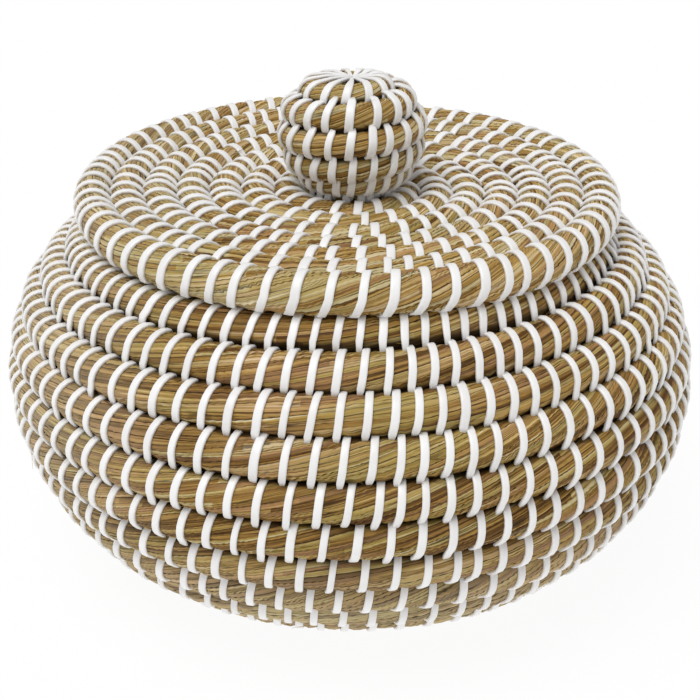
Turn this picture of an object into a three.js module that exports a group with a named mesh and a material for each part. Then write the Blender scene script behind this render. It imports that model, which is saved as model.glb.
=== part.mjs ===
// A round lidded basket of coiled seagrass. One grass coil winds out from the middle of the
// base and up to the mouth, a second one makes the lid, a short one under the lid drops into
// the mouth, and a thin one winds a ball knob round a core. A plastic tie holds the knob down.
// Millimetres, +Z up, origin on the floor under the middle of the base, front towards -Y.

import * as THREE from "three";

// Basket body
const BELLY_DIAMETER = 300;
const BODY_COIL_PITCH = 15;
const BODY_COIL_THICKNESS = 14.6;
const LOWER_BOWL_RADIUS = 76.9;
const UPPER_BOWL_RADIUS = 67.5;
const UPPER_BOWL_BEND = 55;
const LIP_BEND_RADIUS = 18;
const MOUTH_DIAMETER = 161;
const BODY_COIL_END_AZIMUTH = 60;

// Lid, a slightly dished disc that rests on the mouth. Its diameter is the mean one, since the
// rim row moves out by one pitch from its start to its tapered end. It also grows thicker there,
// downwards, as far as the bowl falls away below it.
const LID_DIAMETER = 230;
const LID_COIL_PITCH = 13.7;
const LID_COIL_THICKNESS = 13.8;
const LID_DISH_DEPTH = 3.8;
const LID_RIM_THICKENING = 2.2;
const LID_COIL_END_AZIMUTH = 92;
const LID_SEAT_CLEARANCE = 0.3;

// Locating ring, one turn of coil under the lid that drops into the mouth
const RING_COIL_WIDTH = 13;
const RING_COIL_THICKNESS = 13;
const RING_MOUTH_CLEARANCE = 2;
const RING_END_GAP = 0.6;

// Knob, a squashed ball of thinner coil round a core: a flat crown, a tight shoulder, a rounder
// side that bends in below the belt, and a straight foot
const KNOB_DIAMETER = 61.4;
const KNOB_COIL_PITCH = 10.3;
const KNOB_COIL_THICKNESS = 11;
const KNOB_SHOULDER_RADIUS = 14.3;
const KNOB_SHOULDER_BEND = 75;
const KNOB_SIDE_RADIUS = 22.4;
const KNOB_SIDE_BEND = 45;
const KNOB_FOOT_DIAMETER = 44.2;
const KNOB_COIL_END_AZIMUTH = 180;
const CORE_CLEARANCE = 0.6;

// Tie, a bundle of strip from the core through the eye of the lid to a knot underneath
const TIE_DIAMETER = 4;
const TIE_HOLE_CLEARANCE = 0.5;
const TIE_DEPTH_IN_CORE = 14;
const KNOT_DIAMETER = 12;
const KNOT_THICKNESS = 3;

// Gaps that keep neighbouring rows and pieces apart, and the floor
const ROW_GAP = 0.6;
const TOUCH_GAP = 0.3;
const FLOOR_HEIGHT = 0;

// Faceting
const STEPS_PER_LOOP = 24;
const KNOB_STEPS_PER_LOOP = 20;
const END_TAPER_STEPS = 3;
const END_TAPER_LEFT = 0.35;
const COIL_START_REACH = 2.5;
const CLOSED_EYE_RADIUS = 0.3;
const FLAT_SHARE = 0.52;
const CORE_OUTLINE_STEPS = 9;
const LATHE_SEGMENTS = 24;

const seagrass = new THREE.MeshStandardMaterial({ color: 0xb0955c, roughness: 0.8, metalness: 0 });
const innerGrass = new THREE.MeshStandardMaterial({ color: 0x8c7442, roughness: 0.9, metalness: 0 });
const whiteStrip = new THREE.MeshStandardMaterial({ color: 0xf0efec, roughness: 0.45, metalness: 0 });

const radians = THREE.MathUtils.degToRad;

// A profile line in the (r, z) half plane, made of straight runs and arcs. It starts at r = 0
// heading outwards. Each segment has a length and a bend in degrees, upwards when positive.
function straightRun(length) {
  return { length, bend: 0 };
}

function arcRun(radius, bendDegrees) {
  return { length: radius * Math.abs(radians(bendDegrees)), bend: radians(bendDegrees) };
}

// The point at a distance along the profile line, with its heading angle.
function pointOnProfile(segments, startHeight, distance) {
  const point = { r: 0, z: startHeight, heading: 0 };
  let left = distance;
  for (const [index, segment] of segments.entries()) {
    const isLast = index === segments.length - 1;
    const run = isLast ? left : Math.min(left, segment.length);
    const bend = segment.length > 0 ? (segment.bend * run) / segment.length : 0;
    const chord = bend === 0 ? run : (run * Math.sin(bend / 2)) / (bend / 2);
    point.r += chord * Math.cos(point.heading + bend / 2);
    point.z += chord * Math.sin(point.heading + bend / 2);
    point.heading += bend;
    left -= run;
    if (left <= 0) {
      break;
    }
  }
  return point;
}

// A point beside the profile line: along it by one amount and square to it by another, which
// is downwards where the line heads outwards.
function besidePoint({ r, z, heading }, along, across) {
  return [
    r + along * Math.cos(heading) + across * Math.sin(heading),
    z + along * Math.sin(heading) - across * Math.cos(heading),
  ];
}

function profileLength(segments) {
  return segments.reduce((sum, segment) => sum + segment.length, 0);
}

// Six-sided cross-section of a coil: a corner towards each neighbouring row, and flats on the
// inner and outer faces of the wall, so that the rows meet in V grooves.
function coilSection(halfWidth, halfThickness) {
  const halfFlat = halfWidth * FLAT_SHARE;
  return [
    [halfWidth, 0],
    [halfFlat, halfThickness],
    [-halfFlat, halfThickness],
    [-halfWidth, 0],
    [-halfFlat, -halfThickness],
    [halfFlat, -halfThickness],
  ];
}

// Rings of points of a coil that winds along a profile line. Each loop moves one pitch along
// the line. The first loop is narrowed on its inner side where it would cross the eye in the
// middle, and the last rings shrink towards the row before, where the maker tapers it out. The
// last loop can thicken evenly on its outer face. No point lies below the coil's floor, so what
// stands on it is pressed flat there.
function coilRings(coil) {
  const { profile, startHeight, floor, eyeRadius, end, pitch, halfWidth, halfThickness } = coil;
  const { thickening, turning, endAzimuth, steps } = coil;
  const section = coilSection(halfWidth, halfThickness);
  const start = eyeRadius + COIL_START_REACH;
  const count = Math.max(2, Math.round(((end - start) / pitch) * steps));
  const rings = [];
  for (let i = 0; i <= count; i += 1) {
    const distance = start + ((end - start) * i) / count;
    const azimuth = radians(endAzimuth) - (turning * 2 * Math.PI * (end - distance)) / pitch;
    const fromEnd = Math.min(1, (count - i) / END_TAPER_STEPS);
    const scale = END_TAPER_LEFT + (1 - END_TAPER_LEFT) * fromEnd;
    const point = pointOnProfile(profile, startHeight, distance);
    const shift = -halfWidth * (1 - scale);
    const narrowing = Math.min(1, (point.r - eyeRadius) / halfWidth);
    const thicker = thickening * Math.max(0, 1 - (end - distance) / pitch);
    rings.push(section.map(([along, across]) => {
      const offset = (along < 0 ? along * narrowing : along) * scale + shift;
      const depth = across + (thicker * (1 + across / halfThickness)) / 2;
      const [radius, height] = besidePoint(point, offset, depth * scale);
      const raised = Math.max(floor, height);
      return new THREE.Vector3(radius * Math.cos(azimuth), radius * Math.sin(azimuth), raised);
    }));
  }
  return rings;
}

// A closed skin over rings of equal size, with a flat cap at each end.
function skinOverRings(rings, turning) {
  const sides = rings[0].length;
  const positions = rings.flat().flatMap((point) => point.toArray());
  const triangles = [];
  for (let i = 0; i < rings.length - 1; i += 1) {
    for (let j = 0; j < sides; j += 1) {
      const a = i * sides + j;
      const b = i * sides + ((j + 1) % sides);
      triangles.push([a, b, b + sides], [a, b + sides, a + sides]);
    }
  }
  const last = (rings.length - 1) * sides;
  for (let j = 1; j < sides - 1; j += 1) {
    triangles.push([0, j + 1, j], [last, last + j, last + j + 1]);
  }
  const indices = triangles.flatMap(([a, b, c]) => (turning > 0 ? [a, b, c] : [a, c, b]));
  const geometry = new THREE.BufferGeometry();
  geometry.setAttribute("position", new THREE.Float32BufferAttribute(positions, 3));
  geometry.setIndex(indices);
  geometry.computeVertexNormals();
  return geometry;
}

// The least distance between the points of a coil that lie half a loop or more apart.
function leastGapToItself(rings, steps) {
  let least = Infinity;
  for (let i = 0; i < rings.length; i += 1) {
    for (let k = i + steps / 2; k < rings.length; k += 1) {
      for (const near of rings[i]) {
        for (const far of rings[k]) {
          least = Math.min(least, near.distanceTo(far));
        }
      }
    }
  }
  return least;
}

function coilMesh(name, material, coil) {
  const rings = coilRings(coil);
  const gap = leastGapToItself(rings, coil.steps);
  console.log(`${name}: ${(rings.length / coil.steps).toFixed(1)} loops, least gap ${gap.toFixed(2)} mm`);
  return namedMesh(name, skinOverRings(rings, coil.turning), material);
}

function namedMesh(name, geometry, material) {
  const mesh = new THREE.Mesh(geometry, material);
  mesh.name = name;
  return mesh;
}

// LatheGeometry turns about Y, so the solid is tipped up to turn about Z. The points run from
// the top down, and the lathe takes them from the bottom up.
function latheMesh(name, points, material) {
  const outline = points.toReversed().map(([r, z]) => new THREE.Vector2(r, z));
  const geometry = new THREE.LatheGeometry(outline, LATHE_SEGMENTS);
  geometry.rotateX(Math.PI / 2);
  return namedMesh(name, geometry, material);
}

// Body: the flat base, the lower bowl up to the belly, the upper bowl and the level lip.
const bodyHalfWidth = (BODY_COIL_PITCH - ROW_GAP) / 2;
const bodyHalfThickness = BODY_COIL_THICKNESS / 2;
const baseFlatRadius = BELLY_DIAMETER / 2 - bodyHalfThickness - LOWER_BOWL_RADIUS;
const lipBend = 90 - UPPER_BOWL_BEND;
const bodyProfile = [
  straightRun(baseFlatRadius),
  arcRun(LOWER_BOWL_RADIUS, 90),
  arcRun(UPPER_BOWL_RADIUS, UPPER_BOWL_BEND),
  arcRun(LIP_BEND_RADIUS, lipBend),
];
const lipStart = pointOnProfile(bodyProfile, FLOOR_HEIGHT + bodyHalfThickness, profileLength(bodyProfile));
const mouthRowRadius = MOUTH_DIAMETER / 2 + bodyHalfWidth;
const lipRun = lipStart.r - mouthRowRadius;
const mouthTop = lipStart.z + bodyHalfThickness;

function makeBodyCoil() {
  const profile = [...bodyProfile, straightRun(lipRun)];
  return coilMesh("body_coil", seagrass, {
    profile,
    startHeight: FLOOR_HEIGHT + bodyHalfThickness,
    floor: FLOOR_HEIGHT,
    eyeRadius: CLOSED_EYE_RADIUS,
    end: profileLength(profile),
    pitch: BODY_COIL_PITCH,
    halfWidth: bodyHalfWidth,
    halfThickness: bodyHalfThickness,
    thickening: 0,
    turning: 1,
    endAzimuth: BODY_COIL_END_AZIMUTH,
    steps: STEPS_PER_LOOP,
  });
}

// The hole that the tie passes through in the lid and the core.
const tieHoleRadius = TIE_DIAMETER / 2 + TIE_HOLE_CLEARANCE;

// Lid: one shallow arc from the eye in the middle out to the rim, low enough to rest on the
// innermost row of the mouth.
const lidHalfWidth = (LID_COIL_PITCH - ROW_GAP) / 2;
const lidHalfThickness = LID_COIL_THICKNESS / 2;
const lidEndRadius = LID_DIAMETER / 2 - lidHalfWidth + LID_COIL_PITCH / 2;
const lidDishRadius = (lidEndRadius ** 2 + LID_DISH_DEPTH ** 2) / (2 * LID_DISH_DEPTH);
const lidDishBend = THREE.MathUtils.radToDeg(Math.asin(lidEndRadius / lidDishRadius));
const lidProfile = [arcRun(lidDishRadius, lidDishBend)];

function lidRise(radius) {
  return lidDishRadius - Math.sqrt(lidDishRadius ** 2 - radius ** 2);
}

const seatRadius = MOUTH_DIAMETER / 2;
const lidUnderside = mouthTop + LID_SEAT_CLEARANCE - lidRise(seatRadius);
const lidMiddleHeight = lidUnderside + lidHalfThickness;
const lidTop = lidMiddleHeight + lidHalfThickness;

function makeLidCoil() {
  return coilMesh("lid_coil", seagrass, {
    profile: lidProfile,
    startHeight: lidMiddleHeight,
    floor: -Infinity,
    eyeRadius: tieHoleRadius,
    end: profileLength(lidProfile),
    pitch: LID_COIL_PITCH,
    halfWidth: lidHalfWidth,
    halfThickness: lidHalfThickness,
    thickening: LID_RIM_THICKENING,
    turning: -1,
    endAzimuth: LID_COIL_END_AZIMUTH,
    steps: STEPS_PER_LOOP,
  });
}

// Locating ring: one level turn whose two ends butt together.
const ringRadius = MOUTH_DIAMETER / 2 - RING_MOUTH_CLEARANCE - RING_COIL_WIDTH / 2;
const ringInnerFlat = ringRadius - (RING_COIL_WIDTH / 2) * FLAT_SHARE;
const ringHeight = lidUnderside + lidRise(ringInnerFlat) - TOUCH_GAP - RING_COIL_THICKNESS / 2;

function makeLocatingRing() {
  const section = coilSection(RING_COIL_WIDTH / 2, RING_COIL_THICKNESS / 2);
  const sweep = 2 * Math.PI - RING_END_GAP / (ringRadius - RING_COIL_WIDTH / 2);
  const rings = [];
  for (let i = 0; i <= STEPS_PER_LOOP; i += 1) {
    const azimuth = Math.PI / 2 + (sweep * i) / STEPS_PER_LOOP;
    rings.push(section.map(([along, across]) => {
      const radius = ringRadius + along;
      return new THREE.Vector3(radius * Math.cos(azimuth), radius * Math.sin(azimuth), ringHeight - across);
    }));
  }
  return namedMesh("lid_locating_ring", skinOverRings(rings, 1), seagrass);
}

// Knob: crown, shoulder, side and foot of a squashed ball, wound from the pole down to the lid.
// The crown is as wide as the belt leaves room for, past the shoulder and the side above it.
const knobHalfWidth = (KNOB_COIL_PITCH - ROW_GAP) / 2;
const knobHalfThickness = KNOB_COIL_THICKNESS / 2;
const knobBeltRadius = KNOB_DIAMETER / 2 - knobHalfThickness;
const shoulderReach = KNOB_SHOULDER_RADIUS * Math.sin(radians(KNOB_SHOULDER_BEND));
const sideReach = KNOB_SIDE_RADIUS * (1 - Math.sin(radians(KNOB_SHOULDER_BEND)));
const knobShape = [
  straightRun(knobBeltRadius - shoulderReach - sideReach),
  arcRun(KNOB_SHOULDER_RADIUS, -KNOB_SHOULDER_BEND),
  arcRun(KNOB_SIDE_RADIUS, -KNOB_SIDE_BEND),
];
const knobLowerEnd = pointOnProfile(knobShape, 0, profileLength(knobShape));
const footRowRadius = KNOB_FOOT_DIAMETER / 2 - knobHalfThickness;
const footRun = Math.max(0, (knobLowerEnd.r - footRowRadius) / Math.abs(Math.cos(knobLowerEnd.heading)));
const knobProfile = [...knobShape, straightRun(footRun)];
const knobFoot = pointOnProfile(knobProfile, 0, profileLength(knobProfile));

// The ball's coil when its pole lies at a given height.
function knobCoil(poleHeight) {
  return {
    profile: knobProfile,
    startHeight: poleHeight,
    floor: -Infinity,
    eyeRadius: CLOSED_EYE_RADIUS,
    end: profileLength(knobProfile),
    pitch: KNOB_COIL_PITCH,
    halfWidth: knobHalfWidth,
    halfThickness: knobHalfThickness,
    thickening: 0,
    turning: -1,
    endAzimuth: KNOB_COIL_END_AZIMUTH,
    steps: KNOB_STEPS_PER_LOOP,
  };
}

// The last row stands on the lid, and the core's neck passes inside it.
const knobPoints = coilRings(knobCoil(0)).flat();
const knobLowest = Math.min(...knobPoints.map((point) => point.z));
const lidTopUnderKnob = lidTop + lidRise(KNOB_FOOT_DIAMETER / 2);
const knobPoleHeight = lidTopUnderKnob + TOUCH_GAP - knobLowest;
const knobFootCorners = coilSection(knobHalfWidth, knobHalfThickness).map(
  ([along, across]) => besidePoint(knobFoot, along, across),
);
const knobFootInnermost = Math.min(...knobFootCorners.map(([r]) => r));

function makeKnobCoil() {
  return coilMesh("knob_coil", seagrass, knobCoil(knobPoleHeight));
}

// Core: a wad of grass that fills the ball and stands on the lid, with a blind hole for the tie.
const coreFootHeight = lidTop + TOUCH_GAP;

function makeKnobCore() {
  const inset = knobHalfThickness + CORE_CLEARANCE;
  const length = profileLength(knobProfile);
  const neckRadius = knobFootInnermost * Math.cos(Math.PI / KNOB_STEPS_PER_LOOP) - CORE_CLEARANCE;
  const points = [];
  for (let i = 0; i <= CORE_OUTLINE_STEPS; i += 1) {
    const point = pointOnProfile(knobProfile, knobPoleHeight, (length * i) / CORE_OUTLINE_STEPS);
    points.push(besidePoint(point, 0, inset));
  }
  const [, shoulderHeight] = points.at(-1);
  points.push([neckRadius, shoulderHeight]);
  points.push([neckRadius, coreFootHeight]);
  points.push([tieHoleRadius, coreFootHeight]);
  points.push([tieHoleRadius, coreFootHeight + TIE_DEPTH_IN_CORE]);
  points.push([0, coreFootHeight + TIE_DEPTH_IN_CORE]);
  return latheMesh("knob_core", points, innerGrass);
}

function makeKnobTie() {
  const knotTop = lidUnderside - TOUCH_GAP;
  const tieTop = coreFootHeight + TIE_DEPTH_IN_CORE - TOUCH_GAP;
  return latheMesh("knob_tie", [
    [0, tieTop],
    [TIE_DIAMETER / 2, tieTop],
    [TIE_DIAMETER / 2, knotTop],
    [KNOT_DIAMETER / 2, knotTop],
    [KNOT_DIAMETER / 2, knotTop - KNOT_THICKNESS],
    [0, knotTop - KNOT_THICKNESS],
  ], whiteStrip);
}

const basket = new THREE.Group();
basket.add(makeBodyCoil());

const lid = new THREE.Group();
lid.add(makeLidCoil(), makeLocatingRing(), makeKnobCoil(), makeKnobCore(), makeKnobTie());
basket.add(lid);

export default basket;
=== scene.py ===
"""A round lidded basket of coiled seagrass, lashed with white plastic strip.

Every row of the basket belongs to one bundle of grass blades that winds along a profile line. A
strip wraps the bundle and pierces the row before it at each stitch. Metres, +Z up, origin on the
floor under the middle of the base, front towards -Y.
"""

import math
from dataclasses import dataclass

import bpy
import numpy as np
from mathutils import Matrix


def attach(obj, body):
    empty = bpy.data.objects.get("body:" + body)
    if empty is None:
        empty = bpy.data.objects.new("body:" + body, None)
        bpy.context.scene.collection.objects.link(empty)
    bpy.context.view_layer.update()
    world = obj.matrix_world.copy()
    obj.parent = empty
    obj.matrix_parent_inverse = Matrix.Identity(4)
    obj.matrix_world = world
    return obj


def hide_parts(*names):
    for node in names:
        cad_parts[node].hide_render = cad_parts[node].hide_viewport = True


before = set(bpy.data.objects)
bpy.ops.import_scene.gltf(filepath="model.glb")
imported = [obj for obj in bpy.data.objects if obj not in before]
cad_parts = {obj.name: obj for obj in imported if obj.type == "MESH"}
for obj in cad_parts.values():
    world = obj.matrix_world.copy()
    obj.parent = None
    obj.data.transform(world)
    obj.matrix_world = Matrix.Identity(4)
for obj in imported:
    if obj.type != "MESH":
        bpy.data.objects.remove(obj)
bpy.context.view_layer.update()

bl_info = {
    "name": "Coiled seagrass basket",
    "version": (1, 0, 0),
    "blender": (4, 5, 0),
    "location": "View3D > Sidebar > Basket",
    "description": "Coiled seagrass basket with a lid, a ball knob and white strip lashing",
    "category": "Object",
}

MM = 0.001
TURN = 2 * math.pi

# Body. The bowl has the sizes of the solids and leans a little to one side. All angles that are
# named here are in degrees
BODY_PITCH = 15 * MM
BODY_BASE_HEIGHT = 7.7 * MM
BODY_HALF_THICKNESS = 7.9 * MM
BODY_START = 2.8 * MM
BODY_BLADES = 25
BODY_SHIFT = 0.4 * MM
BODY_SIDE_LEAN = 1.1
BELLY_HEIGHT = 80 * MM
BASE_FLAT_RADIUS = 64.7 * MM
LOWER_BOWL_RADIUS = 76.9 * MM
UPPER_BOWL_RADIUS = 67.5 * MM
UPPER_BOWL_BEND = 55
LIP_RADIUS = 18 * MM
MOUTH_ROW_RADIUS = 87.7 * MM
BODY_END_AZIMUTH = 60

# Lid and its locating ring
LID_PITCH = 13.7 * MM
LID_HALF_THICKNESS = 6.9 * MM
LID_START = 5 * MM
LID_BLADES = 23
LID_TAPER = 0.05
LID_END_RADIUS = 113.5 * MM
LID_DISH_DEPTH = 6.4 * MM
LID_MIDDLE_HEIGHT = 154.7 * MM
LID_LEAN = 1.3
LID_SHIFT = 1.9 * MM
LID_END_AZIMUTH = 92
RIM_THICKENING = 1 * MM
RING_RADIUS = 72 * MM
RING_SHIFT = -0.8 * MM
RING_HEIGHT = 144.5 * MM
RING_HALF_WIDTH = 6.2 * MM
RING_HALF_THICKNESS = 6.2 * MM
RING_END_AZIMUTH = 90
RING_BLADES = 18
RING_POINTS = 40
RING_STEP = 2.6 * MM

# Knob
KNOB_PITCH = 10.3 * MM
KNOB_HALF_THICKNESS = 5.5 * MM
KNOB_START = 4.2 * MM
KNOB_BLADES = 18
KNOB_POINTS = 44
KNOB_STEP = 1.6 * MM
KNOB_RELIEF = 0.85
KNOB_TAPER = 1.8
KNOB_CROWN_FLAT = 8.9 * MM
KNOB_SHOULDER_RADIUS = 16 * MM
KNOB_SHOULDER_BEND = 72
KNOB_SIDE_RADIUS = 22.4 * MM
KNOB_SIDE_BEND = 48
KNOB_FOOT_RUN = 20.6 * MM
KNOB_END_AZIMUTH = 160
KNOB_TOP = 208.9 * MM
KNOB_SHIFT = 0.9 * MM
KNOB_TUCK = 1.8 * MM

# The star of stitches on the knob: how many, where they start along the coil, how deep they sink
# into its eye, and how far the first three points of each lie from the axis
STAR_STITCHES = 13
STAR_START = 8.7 * MM
STAR_SINK = 1.6 * MM
STAR_SINK_SPREAD = 0.7 * MM
STAR_EYE_DISTANCES = np.array([0.3, 0.7, 2.2]) * MM

# Strips in the groove at the foot of the knob
FOOT_TIE_COUNT = 18
FOOT_TIE_RADIUS = 18.2 * MM
FOOT_TIE_SWELL = 0.8 * MM
FOOT_TIE_TOP = 166 * MM
FOOT_TIE_BOTTOM = 157 * MM
FOOT_TIE_SEED = 31

# Core of the knob, as radius and depth below its top in millimetres, and the tie that holds it
CORE_OUTLINE = (
    (0, -10), (3, -9.4), (4.6, -6), (5, -1), (10.5, 0.6), (16.5, 3.6), (18.4, 9.5), (18.2, 17),
    (15.4, 24.5), (9.5, 30.4), (9.2, 37.5), (0, 38.4),
)
CORE_TOP = KNOB_TOP - 11.8 * MM
CORE_BUNDLES = 9
CORE_BUNDLE_SLANT = 4 * MM
CORE_SWELL = 0.4 * MM
TIE_TOP = 176 * MM
TIE_BOTTOM = 147 * MM
TIE_RADIUS = 1.55 * MM
TIE_LOBE = 0.35 * MM
TIE_TWIST = 2.2 * MM
KNOT_HEIGHT = 146.3 * MM
KNOT_SIZE = 1.55 * MM
KNOT_RISE = 0.8 * MM
KNOT_STRIP = np.array([1.2 * MM, 0.4 * MM])
KNOT_LENGTH = 60 * MM

# How neighbouring rows and the floor meet
ROW_OVERLAP = 0.35 * MM
FLOOR_CLEARANCE = 0.7 * MM

# How a bundle wound by hand strays, and over what length
SWAY = 0.2 * MM
SWAY_PERIOD = 70 * MM
LIFT = 0.22 * MM
LIFT_PERIOD = 55 * MM
TWIST_PERIOD = 85 * MM
BLADE_DRIFT = 0.4
BLADE_DRIFT_PERIOD = 38 * MM
BLADE_HEIGHT_PERIOD = 45 * MM
LUMP = 0.18 * MM
LUMP_PERIOD = 24 * MM

# Stitches of the first row, how unevenly they stand, and how each draws the bundle in
FIRST_ROW_STITCHES = 6
STITCH_SPREAD = 0.04
KNOB_STITCH_SPREAD = 0.05
DRAW_DEPTH = 0.35 * MM
DRAW_REACH = 2.5 * MM

# Tone of the grass: how much the blade, its leaf and its streaks each add to it, and where on
# the scale from darkest to palest the sum starts
BLADE_TONE = 0.7
LEAF_TONE = 1.4
STREAK_TONE = 1.28
TONE_START = -1.13
GRASS_GLOSS = 0.12

# Painted light, grass paler on the left and low down: between which places to the left,
# between which heights, how much
PAINTED_LIGHT_SIDE = (-130 * MM, -50 * MM)
PAINTED_LIGHT_FOOT = (35 * MM, 80 * MM)
PAINTED_LIGHT_SHARE = 0.38

# Camera and stage. The picture's width and its shift upwards are in pixels
SENSOR_WIDTH = 36
PICTURE_WIDTH = 700
PICTURE_SHIFT = -8.5
NEAREST_SEEN = 20 * MM
KEY_PLACE = (-0.28, -0.3, 1.1)
KEY_SOFTNESS = 40
FLOOR_HALF_SIDE = 3
FLOOR_GLOW = 0.93
FLOOR_BOUNCE = 1.25


def mix(first, second, share):
    """The first value plus a share of the way to the second."""
    return first + (second - first) * share


def smooth_step(share):
    """The share held between 0 and 1 and levelled at both ends: 3 s squared less 2 s cubed."""
    share = np.clip(share, 0, 1)
    return share * share * (3 - 2 * share)


def running_sum(steps):
    """0, and then the sum of the steps up to each."""
    return np.concatenate([[0.0], np.cumsum(steps)])


def running_area(rates, places):
    """The area under a line of rates up to each place, slice by slice."""
    return running_sum((rates[1:] + rates[:-1]) / 2 * np.diff(places))


def grid(*values):
    """One array out of columns, rows and grids, with their values side by side."""
    return np.stack(np.broadcast_arrays(*values), -1)


def smooth_noise(seed, position, period):
    """Random heights from -1 to 1, one for each period of the position, joined smoothly."""
    heights = np.random.default_rng(seed).uniform(-1, 1, 4096)
    cells = np.asarray(position, float) / period
    cell = np.floor(cells).astype(int)
    share = smooth_step(cells - cell)
    return mix(heights[cell % 4096], heights[(cell + 1) % 4096], share)


def smooth_field(seed, position, period, lane, lanes):
    """The same over a strip of lanes that closes on itself: a smooth mix of four heights."""
    heights = np.random.default_rng(seed).uniform(-1, 1, (1024, lanes))
    cells = np.asarray(position, float) / period
    cell = np.floor(cells).astype(int)
    row = np.floor(lane).astype(int)
    along = smooth_step(cells - cell)
    across = smooth_step(lane - row)
    near = mix(heights[cell % 1024, row % lanes], heights[(cell + 1) % 1024, row % lanes], along)
    row = row + 1
    far = mix(heights[cell % 1024, row % lanes], heights[(cell + 1) % 1024, row % lanes], along)
    return mix(near, far, across)


def straight_run(length):
    """Length and bend of a straight part of a profile line."""
    return (length, 0.0)


def arc_run(radius, degrees):
    """Length and bend of an arc: the radius times the bend in radians, and that bend."""
    return (radius * abs(math.radians(degrees)), math.radians(degrees))


def profile_points(segments, start_height, distance):
    """Radius, height and heading at distances along a line of straight runs and arcs.

    The line starts on the axis heading outwards. An arc of length s that bends by b moves the
    point by a chord of s sin(b / 2) / (b / 2) at the heading plus half the bend.
    """
    left = np.array(distance, float)
    radius = np.zeros_like(left)
    height = np.full_like(left, start_height)
    heading = np.zeros_like(left)
    for index, (length, bend) in enumerate(segments):
        is_last = index == len(segments) - 1
        run = left if is_last else np.clip(left, 0, length)
        turned = bend * run / length if length > 0 else np.zeros_like(left)
        chord = run * np.sinc(turned / TURN)
        radius = radius + chord * np.cos(heading + turned / 2)
        height = height + chord * np.sin(heading + turned / 2)
        heading = heading + turned
        left = left - run
    return radius, height, heading


@dataclass
class Coil:
    """A bundle of grass that winds along a profile line, one pitch of the line for each turn.

    A point of it has a distance along the line, an offset along the line towards the next row,
    and an offset square to it, towards the face that shows. While the line grows by 1, the
    bundle grows by the root of 1 + (turn x radius / pitch) squared. It is drawn with so many
    points round its section, a step from ring to ring, and a share of the blades' full relief.
    """

    segments: list
    start_height: float
    start: float
    end: float
    pitch: float
    half_thickness: float
    turning: int
    end_azimuth: float
    shown_side: int
    seed: int
    blades: int
    taper: float = 0.125
    thickening: float = 0.0
    floor: float = -1.0
    lean: float = 0.0
    side_lean: float = 0.0
    shift: float = 0.0
    tuck: float = 0.0
    points: int = 56
    step: float = 2.4 * MM
    relief: float = 1.0

    def __post_init__(self):
        self.half_width = self.pitch / 2 + ROW_OVERLAP
        self.lean_slope = math.tan(math.radians(self.lean))
        self.side_slope = math.tan(math.radians(self.side_lean))
        self.fine = np.linspace(self.start, self.end, 6000)
        self.radii, _, _ = profile_points(self.segments, self.start_height, self.fine)
        self.wound = running_area(np.hypot(TURN * self.radii / self.pitch, 1), self.fine)

    def length(self):
        return self.wound[-1]

    def wound_at(self, distance):
        """Length of the bundle from its start to a distance along the profile line."""
        return np.interp(distance, self.fine, self.wound)

    def distance_at(self, wound):
        return np.interp(wound, self.wound, self.fine)

    def radius_at(self, distance):
        return np.interp(distance, self.fine, self.radii)

    def azimuth(self, distance):
        turned = TURN * (self.end - distance) / self.pitch
        return math.radians(self.end_azimuth) - self.turning * turned

    def scale(self, distance):
        """1 along the bundle, falling to 0.3 where the maker tapers it out."""
        share = smooth_step((self.end - distance) / (self.pitch * self.taper))
        return mix(0.3, 1.0, share)

    def thicker(self, distance):
        """How much the last row has thickened, away from the side that shows."""
        return self.thickening * smooth_step(2 * (1 - (self.end - distance) / self.pitch))

    def place(self, distance, along, across, floor=None, back=0.0):
        """Points of space for points of the coil, or for points some way back on its profile.

        The bundle sways a little and may start tucked in, and what lies beyond the axis is drawn
        back to it.
        """
        distance = np.asarray(distance, float)
        radius, height, heading = profile_points(self.segments, self.start_height, distance - back)
        wound = self.wound_at(distance)
        scale = self.scale(distance)
        thicker = self.thicker(distance) / 2
        spread = 1 + thicker / self.half_thickness
        sway = SWAY * smooth_noise(self.seed, wound, SWAY_PERIOD)
        lift = LIFT * smooth_noise(self.seed + 1, wound, LIFT_PERIOD)
        moved = along * scale - self.half_width * (1 - scale) + sway
        tucked = self.tuck * smooth_step(1 - (distance - self.start) / (0.8 * self.pitch))
        out = (across * spread - thicker) * scale + lift - tucked
        side = out * self.shown_side
        ring_radius = radius + moved * np.cos(heading) + side * np.sin(heading)
        ring_radius = np.maximum(ring_radius, 0.4 * MM)
        ring_height = height + moved * np.sin(heading) - side * np.cos(heading)
        lowest = self.floor if floor is None else floor
        ring_height = np.maximum(ring_height, lowest)
        azimuth = self.azimuth(distance)
        aside = self.shift - self.side_slope * (ring_height - BELLY_HEIGHT)
        x = ring_radius * np.cos(azimuth) + aside
        y = ring_radius * np.sin(azimuth)
        return grid(x, y, ring_height + self.lean_slope * y)

    def groove(self, distance, angle):
        """How deep a point of the section lies between two rows: 1 less the size of the sine of
        its angle, and 0 on the side of the last row that has no neighbour."""
        # The grass material paints shade in the groove by this value.
        free = (np.cos(angle) < 0) & (distance[:, None] > self.end - self.pitch)
        return np.where(free, 0.0, 1 - np.abs(np.sin(angle)))


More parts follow.
